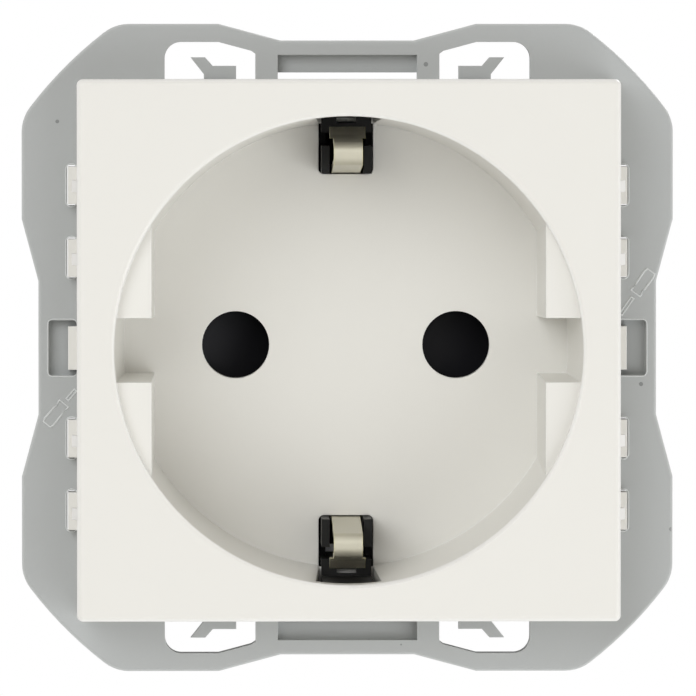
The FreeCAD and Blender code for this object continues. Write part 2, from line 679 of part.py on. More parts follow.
terminalInner = "(terminalReach - contactStrip / 2)"
terminalOuter = "(terminalReach + contactStrip / 2)"
clampInner = f"({terminalOuter} + wireGap)"
clampOuter = f"({clampInner} + clampThickness)"
headOuter = f"({clampOuter} + screwHeadHeight)"
baseInnerWall = "(baseWidth / 2 - towerWall)"
jawRoom = "(contactWidth / 2 + 0.3)"
for number, turn in ((1, flipped), (2, lambda span: span)):
    pinX = f"-{halfPins}" if number == 1 else halfPins
    baseCuts.append(rod(f"webHole{number}", "(pinHoleDiameter + pinPassage) / 2",
                        (f"{webY} - 0.1", f"{chamberY} + 0.1"), x=pinX))
    baseCuts.append(box(f"jawRoom{number}", turn((f"{halfPins} - {jawRoom}", f"{halfPins} + {jawRoom}")),
                        (chamberY, f"{baseBackY} + 1"), ("-4.8", "4.8")))
    baseCuts.append(box(f"tabRoom{number}", turn((halfPins, f"{terminalOuter}")),
                        (f"{contactBackY} - contactStrip / 2 - 0.8", f"{baseBackY} + 1"), ("-3.6", "3.6")))
    baseCuts.append(box(f"terminalRoom{number}", turn((f"{terminalInner} - 0.05", baseInnerWall)),
                        (f"{terminalY} - clampSide / 2 - 1.4", f"{baseBackY} + 1"),
                        ("-terminalTall / 2 - 0.3", "terminalTall / 2 + 0.3")))
    baseCuts.append(rod(f"terminalHole{number}", "screwHeadDiameter / 2 + 0.3",
                        turn((f"{baseInnerWall} - 0.1", f"{halfBase} + 1")), axis="x", y=terminalY))
    baseCuts.append(rod(f"screwEndRoom{number}", "screwDiameter / 2 + 0.3",
                        turn((f"{terminalInner} - 1.4", f"{terminalInner}")), axis="x", y=terminalY))

# The channel of the earth bow, with the earth terminal at the bottom.
bowInner = "(earthReach - earthStrip / 2)"
bowOuter = "(earthReach + earthStrip / 2)"
earthClampInner = f"({bowOuter} + wireGap)"
earthClampOuter = f"({earthClampInner} + clampThickness)"
legRoom = "(earthLegWidth / 2 + 0.3)"
headRoom = "(earthHeadWidth / 2 + 0.2)"
stemInner = "18.95"
baseCuts += [
    box("bridgeRoom", (f"-{legRoom}", legRoom), (f"{earthBridgeY} - 0.6", f"{baseBackY} + 1"),
        (f"-{bowOuter} - 0.3", f"{bowOuter} + 0.3")),
    box("upperLegRoom", (f"-{legRoom}", legRoom), (f"{terminalY} - clampSide / 2 - 2.4", f"{baseBackY} + 1"),
        (f"{bowInner} - 0.4", "18.3")),
    box("earthTerminalRoom", ("-terminalTall / 2 - 0.3", "terminalTall / 2 + 0.3"),
        (f"{terminalY} - clampSide / 2 - 2.4", f"{baseBackY} + 1"), (f"-{baseInnerWall}", f"-{bowInner} + 0.05")),
    box("earthBendRoom", ("-terminalTall / 2 - 0.3", "terminalTall / 2 + 0.3"),
        (f"{earthBridgeY} - 0.9", f"{baseBackY} + 1"), (f"-{bowOuter} - 0.3", f"-{bowInner} + 1.3")),
    rod("earthTerminalHole", "screwHeadDiameter / 2 + 0.3", (f"-{halfBase} - 1", f"-{baseInnerWall} + 0.1"),
        axis="z", y=f"{terminalY} - 1"),
    rod("earthScrewEndRoom", "screwDiameter / 2 + 0.3", (f"-{bowInner}", f"-{bowInner} + 1.4"),
        axis="z", y=f"{terminalY} - 1"),
]
for number, turn in ((1, lambda span: span), (2, flipped)):
    baseCuts.append(box(f"hookSlot{number}", (f"-{headRoom}", headRoom), (f"{deckY} - 1", terminalY),
                        turn((f"{bowInner} - 0.4", "18.35"))))
for number, sign in ((1, ""), (2, "-")):
    baseCuts.append(rod(f"longScrewHole{number}", "longScrewDiameter / 2 + fitClearance",
                        ("-1", f"{baseBackY} + 1"), x=f"{sign}{longScrewAt}", z=f"{sign}{longScrewAt}"))
baseOpen = cut("baseOpen", baseBlock, baseCuts)

# Each tower: two guide cheeks beside the sprung strip, a stem through the well floor, and a hooked
# outer wall that stands in the well wall's window and holds the cover by its latch bar.
baseParts = [baseOpen]
towerHalf = "towerWidth / 2"
cheekInner = "(earthClipWidth / 2 + 0.25)"
hookY = f"({latchBarY} - towerClearance)"
for number, turn in ((1, lambda span: span), (2, flipped)):
    for cheek, cheekTurn in ((1, lambda span: span), (2, flipped)):
        baseParts.append(box(f"cheek{number}{cheek}", cheekTurn((cheekInner, towerHalf)),
                             (f"{floorY} - cheekHeight", f"{deckY} + 0.5"),
                             turn(("earthWindowStart + towerClearance", "17.2"))))
    stem = box(f"stem{number}", (f"-{towerHalf}", towerHalf), (f"{hookY} - 1.0", f"{deckY} + 6"),
               turn(("18.35", f"{stemInner} + 0.1")))
    shoulder = box(f"shoulder{number}", (f"-{towerHalf}", towerHalf), (f"{hookY} - 1.0", hookY),
                   turn(("18.35", "20.9")))
    wall = box(f"towerWall{number}", (f"-{towerHalf}", towerHalf),
               (f"{faceY} + coverFaceWall + towerClearance", hookY), turn(("19.8", "20.9")))
    notch = wedge(f"towerNotch{number}", (f"{hookY} - 1.5", f"{hookY} + 0.5"),
                  ("-0.85", "0.85"), turn(("19.15", "19.6")), ("-0.85", "0.85"), turn(("19.15", "19.6")))
    tower = cut(f"tower{number}", join(f"towerSolid{number}", [stem, shoulder, wall]), [notch])
    baseParts.append(tower)

# Three posts hold the shutter retainer.
postPlaces = [("-14.0", "-5.6"), ("12.0", "-5.6"), ("9.5", "8.2")]
for number, (postX, postZ) in enumerate(postPlaces, start=1):
    baseParts.append(rod(f"retainerPost{number}", "postDiameter / 2", (retainerY, f"{deckY} + 0.5"),
                         x=postX, z=postZ))
named(join("socketBase", baseParts), "socket_base")


# The same planes as numbers, for the folded strips.
floorDepth = size("wellDepth") + faceDepth
deckDepth = floorDepth + size("wellFloorWall") + size("retainerGap") + size("retainerThickness")
chamberDepth = deckDepth + 2 * size("shutterClearance") + size("shutterDepth") + size("webThickness")
baseBackDepth = chamberDepth + size("chamberRoom")
terminalPlace = baseBackDepth - size("terminalSetback")
baseReach = (size("baseWidth") * math.sqrt(2) - size("baseCornerTrim")) / 2
screwAt = (baseReach - size("longScrewInset")) * math.sqrt(0.5)
pinX = size("pinSpacing") / 2

# Rear cover: closes the base and leads the wires in.

rear = newBody("rearCover")
rearSketch = sketchOn(rear, "XZ_Plane", f"-{baseBackY} - rearCoverThickness", "rearPlate")
polygon(rearSketch, [(f"-{halfBase}", f"-{halfBase}"), (halfBase, f"-{halfBase}"),
                     (halfBase, halfBase), (f"-{halfBase}", halfBase)])
pad(rear, rearSketch, "rearCoverThickness")
rearCorners = sketchOn(rear, "XZ_Plane", f"-{baseBackY} - rearCoverThickness", "rearCorners")
circle(rearCorners, f"{baseAcross} / 2")
circle(rearCorners, baseAcross)
pocket(rear, rearCorners, "rearCoverThickness", reverse=True)
rearFace = baseBackDepth + size("rearCoverThickness")
entrySketch = sketchOn(rear, "XZ_Plane", f"-{baseBackY} - rearCoverThickness", "wireEntries")
poleEntry = f"({terminalOuter} + wireGap / 2)"
earthEntry = f"({bowOuter} + wireGap / 2)"
entryPlaces = [(f"{sign}{poleEntry}", f"{other}wireOffset") for sign in ("-", "") for other in ("-", "")]
entryPlaces += [("-wireOffset", f"-{earthEntry}"), ("wireOffset", f"-{earthEntry}")]
for entryX, entryZ in entryPlaces:
    circle(entrySketch, "wireEntryDiameter / 2", entryX, entryZ)
for sign in ("", "-"):
    circle(entrySketch, "longScrewDiameter / 2 + fitClearance", f"{sign}{longScrewAt}", f"{sign}{longScrewAt}")
pocket(rear, entrySketch, "rearCoverThickness", reverse=True)
entryRadius = size("wireEntryDiameter") / 2
screwRadius = size("longScrewDiameter") / 2 + size("fitClearance")
headRise = (size("longScrewHead") - size("longScrewDiameter")) / 2


def rimOf(radius, depth):
    return lambda edge: (edge.Curve.TypeId == "Part::GeomCircle" and near(edge.Curve.Radius, radius)
                         and near(edgeMiddle(edge).y, depth))


bevel(rear, "rearCoverThickness / 4",
      lambda edge: near(edgeMiddle(edge).y, rearFace)
      and max(abs(edgeMiddle(edge).x), abs(edgeMiddle(edge).z)) > screwAt + size("longScrewDiameter"),
      "rearEdge")
bevel(rear, "wireEntryDiameter / 8", rimOf(entryRadius, rearFace), "entryFunnels")
bevel(rear, "(longScrewHead - longScrewDiameter) / 2", rimOf(screwRadius, rearFace), "screwSinks")
named(rear, "rear_cover")

# Shutter retainer: a flat plate on the base's deck.

retainer = newBody("shutterRetainer")
retainerSketch = sketchOn(retainer, "XZ_Plane", f"-{deckY}", "retainerPlate")
polygon(retainerSketch, [("-19.4", "-7.5"), ("15.5", "-7.5"), ("15.5", "6.0"), ("6.0", springRoomTop + " + 0.3"),
                         ("-10.5", springRoomTop + " + 0.3"), ("-20.3", "5.0"), ("-20.3", "-5.0")])
pad(retainer, retainerSketch, "retainerThickness")
retainerHoles = sketchOn(retainer, "XZ_Plane", f"-{deckY}", "retainerHoles")
for pin in (f"-{halfPins}", halfPins):
    circle(retainerHoles, "(pinHoleDiameter + pinPassage) / 2", pin)
for postX, postZ in postPlaces:
    circle(retainerHoles, "postDiameter / 2 + threadClearance", postX, postZ)
pocket(retainer, retainerHoles, "retainerThickness", reverse=True)
named(retainer, "shutter_retainer")

# Shutter: a slider with a ramp behind each pin hole. Two pins at once push it to the left.

shutter = newBody("shutterSlider")
shutterBackY = f"({shutterY} + shutterDepth)"
plateSketch = sketchOn(shutter, "XZ_Plane", f"-{shutterBackY}", "shutterPlateOutline")
polygon(plateSketch, [(f"-{plateLeft}", "-shutterTall / 2"), (plateRight, "-shutterTall / 2"),
                      (plateRight, "shutterTall / 2"), (f"-{plateLeft}", "shutterTall / 2")])
pad(shutter, plateSketch, "shutterPlate")
softened(shutter, "shutterTall / 4",
         lambda edge: runsAlong(edge, "y") and edgeMiddle(edge).x > 0, "shutterEnd")
rampSketch = sketchOn(shutter, "XY_Plane", "0", "shutterRamps")
rampHalf = "(pinHoleDiameter / 2 + 0.1)"
rampFootY = f"({shutterBackY} - shutterPlate)"
for pin in (f"-{halfPins}", halfPins):
    polygon(rampSketch, [(f"{pin} - {rampHalf} - 0.5", f"{rampFootY} + 0.4"), (f"{pin} - {rampHalf} - 0.5", shutterY),
                         (f"{pin} - {rampHalf} + 0.1", shutterY), (f"{pin} + {rampHalf}", f"{rampFootY} - 0.3"),
                         (f"{pin} + {rampHalf}", f"{rampFootY} + 0.4")])
pad(shutter, rampSketch, "shutterTall - 0.4", bothWays=True)
passSketch = sketchOn(shutter, "XZ_Plane", f"-{shutterBackY}", "shutterPass")
circle(passSketch, "pinHoleDiameter / 2 + 0.2", f"shutterTravel - {halfPins}")
pocket(shutter, passSketch, "shutterDepth", reverse=True)
lugSketch = sketchOn(shutter, "YZ_Plane", "shutterTravel - lugSetback", "shutterLug")
polygon(lugSketch, [(f"{shutterY} + 0.6", "1.0"), (f"{rampFootY} + 0.4", "1.0"),
                    (f"{rampFootY} + 0.4", "shutterTall / 2 - 0.1"), (f"{shutterY} + 2.9", "shutterTall / 2 - 0.1"),
                    (f"{shutterY} + 2.9", "shutterTall / 2 + 2.2"), (f"{shutterY} + 0.6", "shutterTall / 2 + 2.2")])
pad(shutter, lugSketch, "lugWidth")
named(shutter, "shutter")

# Shutter spring: a bent strip between the base and the shutter's lug.

spring = newBody("shutterSpring")
springSketch = sketchOn(spring, "XZ_Plane", f"-({shutterY} + 2.8)", "springPath")
roomLeft = -size("shutterTravel") - 3.4
lugLeft = size("shutterTravel") - size("lugSetback")
springTop = size("earthWindowStart") - size("springDrop")
springFoot = size("shutterTall") / 2 + 0.8
springSheet = size("springStrip")
crestLeft = -size("springCrest") - size("springCrestWidth") / 2
crestRight = -size("springCrest") + size("springCrestWidth") / 2
foldedStrip(springSketch, [(roomLeft + 0.4, springFoot), (crestLeft, springTop), (crestRight, springTop),
                           (lugLeft - springSheet, springFoot)], springSheet, 0.7)
pad(spring, springSketch, "springWidth")
named(spring, "shutter_spring")

# Live and neutral contacts: one folded strip each, with two sprung jaws and a terminal plate,
# and a steel clip round the jaws.

strip = size("contactStrip")
backDepth = baseBackDepth - size("contactSetback")
jawTip = size("contactGrip") / 2 + strip / 2
jawBack = 3.3
gripDepth = chamberDepth + 4.2
bendDepth = backDepth - 3.4
terminalX = size("terminalReach")
plateFront = terminalPlace - size("clampSide") / 2 - 0.6
clipGap = strip / 2 + size("clipStrip") / 2 + 0.05


def jawPath(outward, mouth, back):
    half = [(gripDepth, jawTip + outward), (bendDepth, jawBack + outward), (back, jawBack + outward)]
    if mouth:
        half = [(chamberDepth + 0.8, jawTip + 1.3)] + half
    return half + [(y, -z) for y, z in reversed(half)]


for sign, pole in ((-1, "live"), (1, "neutral")):
    signText = "-" if sign < 0 else ""
    contact = newBody(f"{pole}Contact")
    jawSketch = sketchOn(contact, "YZ_Plane", f"{signText}{halfPins}", f"{pole}Jaws")
    foldedStrip(jawSketch, jawPath(0, True, backDepth), strip, 0.7)
    pad(contact, jawSketch, "contactWidth", bothWays=True)
    tabSketch = sketchOn(contact, "XY_Plane", "0", f"{pole}Tab")
    tabPath = [(sign * (pinX + 1), backDepth), (sign * terminalX, backDepth), (sign * terminalX, plateFront)]
    foldedStrip(tabSketch, tabPath, strip, 0.9)
    pad(contact, tabSketch, "contactWidth", bothWays=True)
    wideSketch = sketchOn(contact, "XY_Plane", "0", f"{pole}TerminalPlate")
    plateSides = [f"{signText}{terminalInner}", f"{signText}{terminalOuter}"]
    plateY = (f"{terminalY} - clampSide / 2 - 0.6", f"{contactBackY} - 1.6")
    polygon(wideSketch, [(plateSides[0], plateY[0]), (plateSides[1], plateY[0]),
                         (plateSides[1], plateY[1]), (plateSides[0], plateY[1])])
    pad(contact, wideSketch, "terminalTall", bothWays=True)
    holeSketch = sketchOn(contact, "YZ_Plane", f"{signText}terminalReach", f"{pole}ThreadHole")
    circle(holeSketch, "screwDiameter / 2 + threadClearance", terminalY, "0")
    pocket(contact, holeSketch, "contactStrip * 2", bothWays=True)
    named(contact, f"{pole}_contact")

    clip = newBody(f"{pole}Clip")
    clipSketch = sketchOn(clip, "YZ_Plane", f"{signText}{halfPins}", f"{pole}ClipPath")
    foldedStrip(clipSketch, jawPath(clipGap, False, backDepth + clipGap), size("clipStrip"), 0.9)
    pad(clip, clipSketch, "contactWidth * 2 / 3", bothWays=True)
    named(clip, f"{pole}_contact_clip")

# Earth bow: one folded strip from the upper clip round the back to the lower clip.

bow = newBody("earthBowStrip")
bowSketch = sketchOn(bow, "YZ_Plane", "0", "earthBowPath")
leg = size("earthReach")
upperPath = [
    (-1.15, leg + 3.55),
    (-2.6, leg + 2.85),
    (-7.0, leg + 2.2),
    (-7.0, leg + 0.9),
    (floorDepth + 1.6, leg),
    (baseBackDepth - size("earthBridgeSetback"), leg),
]
lowerPath = [(y, -z) for y, z in reversed(upperPath)]
foldedStrip(bowSketch, upperPath + lowerPath, size("earthStrip"), 0.62)
pad(bow, bowSketch, "terminalTall", bothWays=True)
wideStart = f"{terminalY} - clampSide / 2 - 2.0"
bowTrims = []
for number, turn in ((1, lambda span: span), (2, flipped)):
    for name, half, y, z in (
            ("clipTrim", "earthClipWidth / 2", ("-9", wideStart), turn(("earthReach - 2", "earthReach + 2.85"))),
            ("headTrim", "earthHeadWidth / 2", ("-9", wideStart), turn(("earthReach + 2.8", "earthReach + 5")))):
        for trimSide, trimTurn in ((1, lambda span: span), (2, flipped)):
            bowTrims.append(box(f"{name}{number}{trimSide}", trimTurn((half, "terminalTall")), y, z))
for trimSide, trimTurn in ((1, lambda span: span), (2, flipped)):
    bowTrims.append(box(f"legTrim{trimSide}", trimTurn(("earthLegWidth / 2", "terminalTall")),
                        (wideStart, f"{earthBridgeY} + 2"), (f"-{bowInner} + 1.0", "earthReach + 2")))
bowTrims.append(rod("earthThreadHole", "screwDiameter / 2 + threadClearance", (f"-{bowOuter} - 1", f"-{bowInner} + 1"),
                    axis="z", y=f"{terminalY} - 1"))
named(cut("earthBow", bow, bowTrims), "earth_bow")

# Terminal screws and clamp plates. A screw is drawn along X from its plate's inner face.

turns = {
    "live": Rotation(Vector(0, 0, 1), 180),
    "neutral": Rotation(),
    "earth": Rotation(Vector(0, 1, 0), 90),
}
places = {
    "live": (f"-{terminalInner}", terminalY, "0"),
    "neutral": (terminalInner, terminalY, "0"),
    "earth": ("0", f"{terminalY} - 1", f"-{bowInner}"),
}


def seat(body, pole):
    body.Placement = FreeCAD.Placement(Vector(), turns[pole])
    x, y, z = places[pole]
    bind(body, {"Placement.Base.x": x, "Placement.Base.y": y, "Placement.Base.z": z})


for pole in ("live", "neutral", "earth"):
    stripText = "earthStrip" if pole == "earth" else "contactStrip"
    clampStart = f"({stripText} + wireGap)"
    headStart = f"({stripText} + wireGap + clampThickness)"
    clamp = newBody(f"{pole}Clamp")
    clampSketch = sketchOn(clamp, "YZ_Plane", clampStart, f"{pole}ClampPlate")
    polygon(clampSketch, [("-clampSide / 2", "-clampSide / 2"), ("clampSide / 2", "-clampSide / 2"),
                          ("clampSide / 2", "clampSide / 2"), ("-clampSide / 2", "clampSide / 2")])
    circle(clampSketch, "screwDiameter / 2 + fitClearance")
    pad(clamp, clampSketch, "clampThickness")
    softened(clamp, "clampThickness / 2", lambda edge: runsAlong(edge, "x"), f"{pole}ClampCorners")
    seat(clamp, pole)
    named(clamp, f"{pole}_clamp_plate")

    screw = newBody(f"{pole}Screw")
    screwSketch = sketchOn(screw, "XY_Plane", "0", f"{pole}ScrewProfile")
    polygon(screwSketch, [("-0.9", "0"), ("-0.9", "screwDiameter / 2 - 0.4"), ("-0.5", "screwDiameter / 2"),
                          (headStart, "screwDiameter / 2"), (headStart, "screwHeadDiameter / 2"),
                          (f"{headStart} + screwHeadHeight - 0.5", "screwHeadDiameter / 2"),
                          (f"{headStart} + screwHeadHeight", "screwHeadDiameter / 2 - 0.5"),
                          (f"{headStart} + screwHeadHeight", "0")])
    turned = screw.newObject("PartDesign::Revolution", f"{pole}ScrewTurned")
    turned.Profile = screwSketch
    turned.ReferenceAxis = (screwSketch, ["H_Axis"])
    turned.Angle = 360
    driveSketch = sketchOn(screw, "YZ_Plane", f"{headStart} + screwHeadHeight", f"{pole}ScrewDrive")
    arm = "screwHeadDiameter * 0.3"
    slot = "screwHeadDiameter * 0.08"
    polygon(driveSketch, [(arm, slot), (slot, slot), (slot, arm), (f"-{slot}", arm), (f"-{slot}", slot),
                          (f"-{arm}", slot), (f"-{arm}", f"-{slot}"), (f"-{slot}", f"-{slot}"),
                          (f"-{slot}", f"-{arm}"), (slot, f"-{arm}"), (slot, f"-{slot}"), (arm, f"-{slot}")])
    pocket(screw, driveSketch, "screwHeadHeight * 0.6")
    seat(screw, pole)
    named(screw, f"{pole}_terminal_screw")

# Long screws from the back: rear cover, base and frame.

for sign, corner in (("", "upper_right"), ("-", "lower_left")):
    screw = newBody(f"longScrew_{corner}")
    profile = sketchOn(screw, "XY_Plane", "0", f"longScrewProfile_{corner}")
    backY = f"({baseBackY} + rearCoverThickness - 0.05)"
    sinkY = f"({backY} - (longScrewHead - longScrewDiameter) / 2)"
    tipY = "-frameThickness - bossHeight"
    polygon(profile, [("0", f"{tipY} + 0.4"), ("longScrewDiameter / 2 - 0.6", f"{tipY} + 0.4"),
                      ("longScrewDiameter / 2", f"{tipY} + 1.2"), ("longScrewDiameter / 2", sinkY),
                      ("longScrewHead / 2", backY), ("0", backY)])
    turned = screw.newObject("PartDesign::Revolution", f"longScrewTurned_{corner}")
    turned.Profile = profile
    turned.ReferenceAxis = (profile, ["V_Axis"])
    turned.Angle = 360
    driveSketch = sketchOn(screw, "XZ_Plane", f"-{backY}", f"longScrewDrive_{corner}")
    arm = "longScrewHead * 0.25"
    slot = "longScrewHead * 0.07"
    polygon(driveSketch, [(arm, slot), (slot, slot), (slot, arm), (f"-{slot}", arm), (f"-{slot}", slot),
                          (f"-{arm}", slot), (f"-{arm}", f"-{slot}"), (f"-{slot}", f"-{slot}"),
                          (f"-{slot}", f"-{arm}"), (slot, f"-{arm}"), (slot, f"-{slot}"), (arm, f"-{slot}")])
    pocket(screw, driveSketch, "longScrewHead * 0.16", reverse=True)
    bind(screw, {"Placement.Base.x": f"{sign}{longScrewAt}", "Placement.Base.z": f"{sign}{longScrewAt}"})
    named(screw, f"assembly_screw_{corner}")

# Every object has to be sound before anything is written.

document.recompute()
failed = [thing.Name for thing in document.Objects if "Invalid" in thing.State or "Error" in thing.State]
for piece in subParts:
    if piece.Shape.isNull() or not piece.Shape.isValid() or not piece.Shape.Solids:
        failed.append(piece.Label)
if failed:
    raise RuntimeError("these did not build: " + ", ".join(failed))
os.makedirs("parts", exist_ok=True)
for piece in subParts:
    piece.Shape.exportStep(f"parts/{piece.Label}.step")
    print(piece.Label, len(piece.Shape.Solids), round(piece.Shape.Volume, 2))
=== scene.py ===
import json
import math

import bpy
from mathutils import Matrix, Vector


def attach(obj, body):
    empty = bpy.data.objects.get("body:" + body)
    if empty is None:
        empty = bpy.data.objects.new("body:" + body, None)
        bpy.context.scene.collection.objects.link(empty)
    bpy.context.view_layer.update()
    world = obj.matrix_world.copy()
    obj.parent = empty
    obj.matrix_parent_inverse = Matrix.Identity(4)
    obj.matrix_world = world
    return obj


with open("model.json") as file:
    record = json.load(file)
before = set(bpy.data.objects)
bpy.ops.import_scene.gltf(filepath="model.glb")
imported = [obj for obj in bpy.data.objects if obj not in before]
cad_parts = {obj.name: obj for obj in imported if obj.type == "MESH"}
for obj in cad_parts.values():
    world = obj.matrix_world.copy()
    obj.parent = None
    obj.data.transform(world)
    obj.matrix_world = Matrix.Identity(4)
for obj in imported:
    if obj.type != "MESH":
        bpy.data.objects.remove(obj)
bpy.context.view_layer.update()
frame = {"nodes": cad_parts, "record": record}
nodes = frame["nodes"]
mm = 0.001
print("frame loaded:", len(nodes), "nodes")


# shader maths

class Wire:  # one socket of a node, so that shader maths reads as sums
    def __init__(self, tree, socket):
        self.tree = tree
        self.socket = socket

    def math(self, operation, other=0.0):
        return self.tree.add("ShaderNodeMath", {"operation": operation}, {0: self, 1: other})

    def __add__(self, other):
        return self.math("ADD", other)

    def __radd__(self, other):
        return self.math("ADD", other)

    def __sub__(self, other):
        return self.math("SUBTRACT", other)

    def __rsub__(self, other):
        return self.tree.add("ShaderNodeMath", {"operation": "SUBTRACT"}, {0: other, 1: self})

    def __mul__(self, other):
        return self.math("MULTIPLY", other)

    def __rmul__(self, other):
        return self.math("MULTIPLY", other)

    def size(self):
        return self.math("ABSOLUTE")

    def over(self, edge):  # 1 where the value is over the edge
        return self.math("GREATER_THAN", edge)

    def most(self, other):  # the larger of the two
        return self.math("MAXIMUM", other)

    def held(self):  # kept between 0 and 1
        settings = {"operation": "MULTIPLY", "use_clamp": True}
        return self.tree.add("ShaderNodeMath", settings, {0: self, 1: 1.0})


class Tree:  # a node tree, whose new nodes all come from add
    def __init__(self, nodeTree):
        self.nodeTree = nodeTree

    def feed(self, socket, value):
        if isinstance(value, Wire):
            self.nodeTree.links.new(value.socket, socket)
        else:
            socket.default_value = value

    def add(self, kind, settings, sockets, output=0):
        made = self.nodeTree.nodes.new(kind)
        for key, value in settings.items():
            setattr(made, key, value)
        for key, value in sockets.items():
            self.feed(made.inputs[key], value)
        return Wire(self, made.outputs[output])

    def mixed(self, amount, first, second):
        return self.add("ShaderNodeMix", {"data_type": "RGBA"}, {0: amount, 6: first, 7: second}, 2)

    def seenStraight(self):  # 1 for what the camera sees directly, in a reflection or through a clear piece
        camera, glossy, clear = [
            self.add("ShaderNodeLightPath", {}, {}, ray)
            for ray in ("Is Camera Ray", "Is Glossy Ray", "Is Transmission Ray")]
        return camera.most(glossy).most(clear)


class Finish(Tree):  # a material on a Principled shader
    bevelSamples = 6
    roundGain = 5.0  # how fast a rounded front edge reaches its full mask
    roundCut = 0.25  # what is taken off the mask, so that flat faces have none

    def __init__(self, name, color, roughness, metallic=0.0):
        self.material = bpy.data.materials.new(name)
        self.material.use_nodes = True
        super().__init__(self.material.node_tree)
        self.shader = self.nodeTree.nodes["Principled BSDF"]
        self.set("Base Color", shade(color, 1.0))
        self.set("Roughness", roughness)
        self.set("Metallic", metallic)

    def set(self, name, value):
        self.feed(self.shader.inputs[name], value)

    def place(self):
        return self.add("ShaderNodeTexCoord", {}, {}, "Object")

    def noise(self, grain, detail=2.0, roughness=0.5):  # grain is the size of one blob, in metres
        return self.add("ShaderNodeTexNoise", {}, {
            "Vector": self.place(), "Scale": 1.0 / grain, "Detail": detail, "Roughness": roughness})

    def soft(self, radius):  # the normal as it would be with rounded edges
        return self.add("ShaderNodeBevel", {"samples": self.bevelSamples}, {"Radius": radius})

    def edges(self, radius, gain):  # 1 at the sharp edges, fading to 0 within the radius
        plain = self.add("ShaderNodeNewGeometry", {}, {}, "Normal")
        along = self.add("ShaderNodeVectorMath", {"operation": "DOT_PRODUCT"},
                         {0: plain, 1: self.soft(radius)}, "Value")
        return ((1.0 - along) * gain).held()

    def rounding(self):  # 1 halfway round a rounded front edge, 0 on the flat faces and in deep walls
        normal = self.add("ShaderNodeTexCoord", {}, {}, "Normal")
        front = self.add("ShaderNodeSeparateXYZ", {}, {0: normal}, "Y").size()
        return (front * (1.0 - front) * self.roundGain - self.roundCut).held()

    def bump(self, height, depth, edge=0.0):  # edge is the radius of the moulding's softened edges
        sockets = {"Strength": 1.0, "Distance": depth, "Height": height}
        if edge:
            sockets["Normal"] = self.soft(edge)
        self.set("Normal", self.add("ShaderNodeBump", {}, sockets))


def linear(red, green, blue):  # a colour as written on screen, 0 to 255, by the sRGB rule
    steps = [value / 255 for value in (red, green, blue)]
    return tuple(step / 12.92 if step <= 0.04045 else ((step + 0.055) / 1.055) ** 2.4 for step in steps)


def shade(color, factor):
    return (*[value * factor for value in color], 1.0)


def varied(middle, spread, noise):  # a noise lies about one half
    return middle + spread * (noise - 0.5)


# camera

def aimed(name, data, place, target):  # an object that looks from its place at the target
    made = bpy.data.objects.new(name, data)
    bpy.context.scene.collection.objects.link(made)
    made.location = place
    made.rotation_mode = "QUATERNION"
    made.rotation_quaternion = (Vector(target) - Vector(place)).to_track_quat("-Z", "Y")
    return made


camera = {
    "place": (-14.16 * mm, -885.0 * mm, 26.56 * mm),
    "target": (0.08 * mm, 0.0, -0.08 * mm),
    "lens": 535.1,
    "sensor": 36.0,
    "near": 0.01,
    "far": 10.0,
}
cameraData = bpy.data.cameras.new("camera")
cameraData.lens = camera["lens"]
cameraData.sensor_width = camera["sensor"]
cameraData.clip_start = camera["near"]
cameraData.clip_end = camera["far"]
bpy.context.scene.camera = aimed("camera", cameraData, camera["place"], camera["target"])
print("camera made")


# finishes

def whitePlastic():
    look = {
        "color": linear(238, 237, 232), "tint": 0.985, "tintGrain": 18 * mm,
        "roughness": 0.3, "roughnessSpread": 0.06,
        "grain": 0.35 * mm, "grainDetail": 3.0, "grainDepth": 0.0006 * mm,
        "edge": 0.14 * mm, "edgeGain": 5.0, "lip": linear(255, 255, 253),  # painted highlight: the lighter colour the edges are painted in, standing in for the light they catch
    }
    finish = Finish("satinWhitePlastic", look["color"], look["roughness"])
    cloud = finish.noise(look["tintGrain"])
    body = finish.mixed(cloud, shade(look["color"], 1.0), shade(look["color"], look["tint"]))
    # painted highlight: sharp edges and rounded front edges are painted in the lighter colour, standing in
    # for the light they catch
    lip = (finish.edges(look["edge"], look["edgeGain"]) + finish.rounding()).held()
    finish.set("Base Color", finish.mixed(lip, body, shade(look["lip"], 1.0)))
    grain = finish.noise(look["grain"], look["grainDetail"])
    finish.set("Roughness", varied(look["roughness"], look["roughnessSpread"], grain))
    finish.bump(grain, look["grainDepth"], look["edge"])
    return finish.material


def greyPlastic(name, color):
    look = {
        "light": 1.03, "dark": 0.96, "tintGrain": 9 * mm,
        "roughness": 0.52, "roughnessSpread": 0.15,
        "grain": 0.16 * mm, "grainDetail": 4.0, "grainRoughness": 0.6, "grainDepth": 0.004 * mm,
        "edge": 0.1 * mm,
        "specks": 2.2 * mm, "speckShare": 0.09, "speckShade": 0.55,
        "patches": 3.74 * mm, "patchEdge": 0.56,  # specks show only in these patches
        # painted highlight: how far and how strongly the edges and rounded front edges are painted lighter,
        # standing in for the light they catch
        "edgeLight": 0.16 * mm, "edgeLightGain": 3.0, "edgeLightShare": 0.85, "edgeLightLift": 1.4,
    }
    finish = Finish(name, color, look["roughness"])
    cloud = finish.noise(look["tintGrain"])
    grain = finish.noise(look["grain"], look["grainDetail"], look["grainRoughness"])
    both = (cloud * 0.5 + grain * 0.5).held()
    body = finish.mixed(both, shade(color, look["light"]), shade(color, look["dark"]))
    spot = finish.add("ShaderNodeTexVoronoi", {}, {"Vector": finish.place(), "Scale": 1.0 / look["specks"]})
    speck = (look["speckShare"] - spot).over(0.0) * finish.noise(look["patches"]).over(look["patchEdge"])
    body = finish.mixed(speck, body, shade(color, look["speckShade"]))
    # painted highlight: the mask over sharp and rounded front edges, where the grey is painted lighter
    edgeLight = (finish.edges(look["edgeLight"], look["edgeLightGain"]) + finish.rounding()).held() * look["edgeLightShare"]
    finish.set("Base Color", finish.mixed(edgeLight, body, shade(color, look["edgeLightLift"])))
    finish.set("Roughness", varied(look["roughness"], look["roughnessSpread"], grain))
    finish.bump(grain, look["grainDepth"], look["edge"])
    return finish.material


